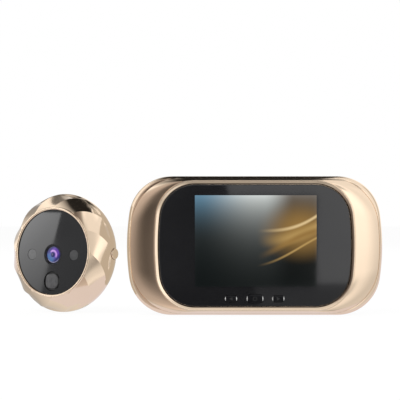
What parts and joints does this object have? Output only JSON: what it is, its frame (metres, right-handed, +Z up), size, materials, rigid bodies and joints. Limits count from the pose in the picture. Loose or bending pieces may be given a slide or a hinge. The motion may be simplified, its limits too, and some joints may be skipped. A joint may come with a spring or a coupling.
{
  "type": "peephole door camera",
  "caption": "Digital door viewer: indoor screen unit on a wall bracket, and a round outdoor camera unit with lens, motion sensor, bell button and threaded door tube.",
  "frame": {"origin": "centre of the indoor unit's flat base, on the ground plane", "axes": "+X right as seen from the front, +Y backwards into the door, +Z up"},
  "size_m": [0.1767, 0.0611, 0.0653],
  "materials": {
    "champagne_gold": "electroplated champagne gold, glossy",
    "black_gloss": "glossy black acrylic",
    "black_casing": "fine matt texture",
    "inner_plastic": "plain moulded",
    "screen_glass": "lit colour screen behind polished glass",
    "backlight_tray": "folded steel tray",
    "foam": "closed-cell foam and adhesive",
    "flex_film": "amber film",
    "circuit_board": "green solder mask",
    "chip": "moulded black",
    "steel": "zinc plated",
    "bright_metal": "bright nickel",
    "gold_contact": "gold flash",
    "battery_foil": "foil pouch in clear wrap",
    "lens": "coated lens, violet and blue",
    "lamp_window": "dark infrared window",
    "motion_lens": "ribbed milky grey",
    "rubber_seal": "soft black"
  },
  "bodies": {
    "indoor_unit": {"front_housing": "champagne_gold", "bezel_ring": "champagne_gold", "front_panel": "black_gloss", "rear_cover": "black_casing", "button_guide": "inner_plastic", "key_switches": "inner_plastic", "speaker": "inner_plastic", "ribbon_socket": "inner_plastic", "lcd_glass": "screen_glass", "lcd_backlight": "backlight_tray", "lcd_foam_frame": "foam", "speaker_gasket": "foam", "panel_adhesive": "foam", "lcd_flex": "flex_film", "main_board": "circuit_board", "board_chips": "chip", "board_screws": "steel", "rear_screws": "steel", "usb_socket": "bright_metal", "card_socket": "bright_metal", "battery_contacts": "gold_contact", "battery_pack": "battery_foil"},
    "button_left": {"button_left": "black_gloss"},
    "button_power": {"button_power": "black_gloss"},
    "button_right": {"button_right": "black_gloss"},
    "battery_door": {"battery_door": "black_casing"},
    "wall_bracket": {"mounting_bracket": "steel", "bracket_studs": "steel", "adhesive_pads": "foam"},
    "bracket_nut": {"bracket_nut": "bright_metal", "nut_clip": "steel"},
    "outdoor_unit": {"outdoor_housing": "champagne_gold", "outdoor_lip_ring": "champagne_gold", "outdoor_panel": "black_gloss", "disc_adhesive": "foam", "lens_ring": "black_gloss", "lens_glass": "lens", "lens_barrel": "inner_plastic", "lens_holder": "inner_plastic", "image_sensor": "chip", "camera_board": "circuit_board", "ir_leds": "lamp_window", "pir_lens": "motion_lens", "pir_sensor": "bright_metal", "camera_ribbon_socket": "inner_plastic", "doorbell_switch": "inner_plastic", "back_plate": "black_casing", "back_plate_screws": "steel", "threaded_tube": "bright_metal", "door_gasket": "rubber_seal"},
    "doorbell_button": {"doorbell_button": "champagne_gold"}
  },
  "joints": [
    {"name": "left_key_press", "type": "slide", "parent": "indoor_unit", "child": "button_left", "axis": [0, 1, 0], "range_m": [0, 0.0004], "stiffness_N_per_m": 400, "springref_m": -0.001},
    {"name": "power_key_press", "type": "slide", "parent": "indoor_unit", "child": "button_power", "axis": [0, 1, 0], "range_m": [0, 0.0004], "stiffness_N_per_m": 400, "springref_m": -0.001},
    {"name": "right_key_press", "type": "slide", "parent": "indoor_unit", "child": "button_right", "axis": [0, 1, 0], "range_m": [0, 0.0004], "stiffness_N_per_m": 400, "springref_m": -0.001},
    {"name": "battery_door_lift", "type": "slide", "parent": "indoor_unit", "child": "battery_door", "axis": [0, 1, 0], "range_m": [0, 0.03]},
    {"name": "bracket_release", "type": "slide", "parent": "indoor_unit", "child": "wall_bracket", "axis": [0, 0, -1], "range_m": [0, 0.006]},
    {"name": "bracket_nut_turn", "type": "hinge", "parent": "wall_bracket", "child": "bracket_nut", "pos_m": [-0.0175, 0.0094, 0.03265], "axis": [0, 1, 0], "continuous": true},
    {"name": "outdoor_lift", "type": "slide", "parent": "indoor_unit", "child": "outdoor_unit", "axis": [0, 0, 1], "range_m": [0, 0.12]},
    {"name": "bell_press", "type": "slide", "parent": "outdoor_unit", "child": "doorbell_button", "axis": [-0.8545, 0.5195, 0], "range_m": [0, 0.0006], "stiffness_N_per_m": 400, "springref_m": -0.001}
  ]
}
